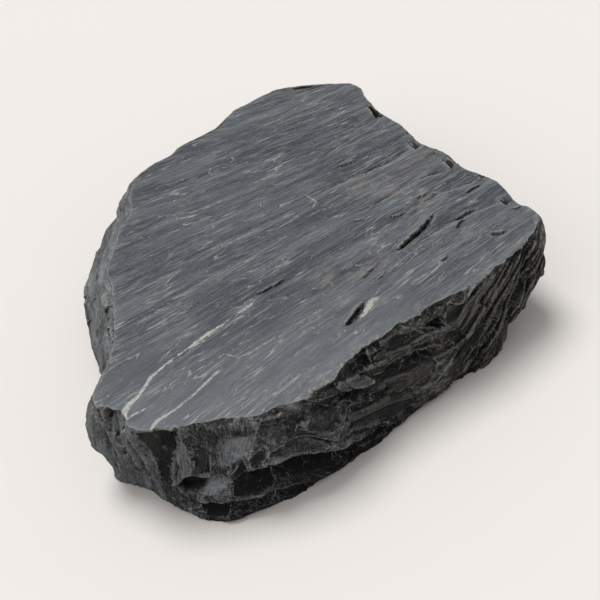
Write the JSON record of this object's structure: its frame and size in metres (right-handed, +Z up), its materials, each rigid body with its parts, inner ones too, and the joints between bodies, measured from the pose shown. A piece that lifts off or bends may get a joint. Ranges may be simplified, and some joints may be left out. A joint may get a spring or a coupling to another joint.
{
  "type": "slate slab",
  "caption": "Rough natural slate slab: a flat split top, a broken stepped edge and a flat foot to rest on.",
  "frame": {"origin": "middle of the slab's bounding box at the level of its foot", "axes": "+X along the slab's length and its grain, +Y across it, +Z up through the bedding"},
  "size_m": [0.3593, 0.2675, 0.088],
  "materials": {
    "slate": "split dark blue-grey slate with white quartz veins, dull silky top and darker broken edge"
  },
  "bodies": {
    "root": {"slate_slab": "slate"}
  },
  "joints": []
}
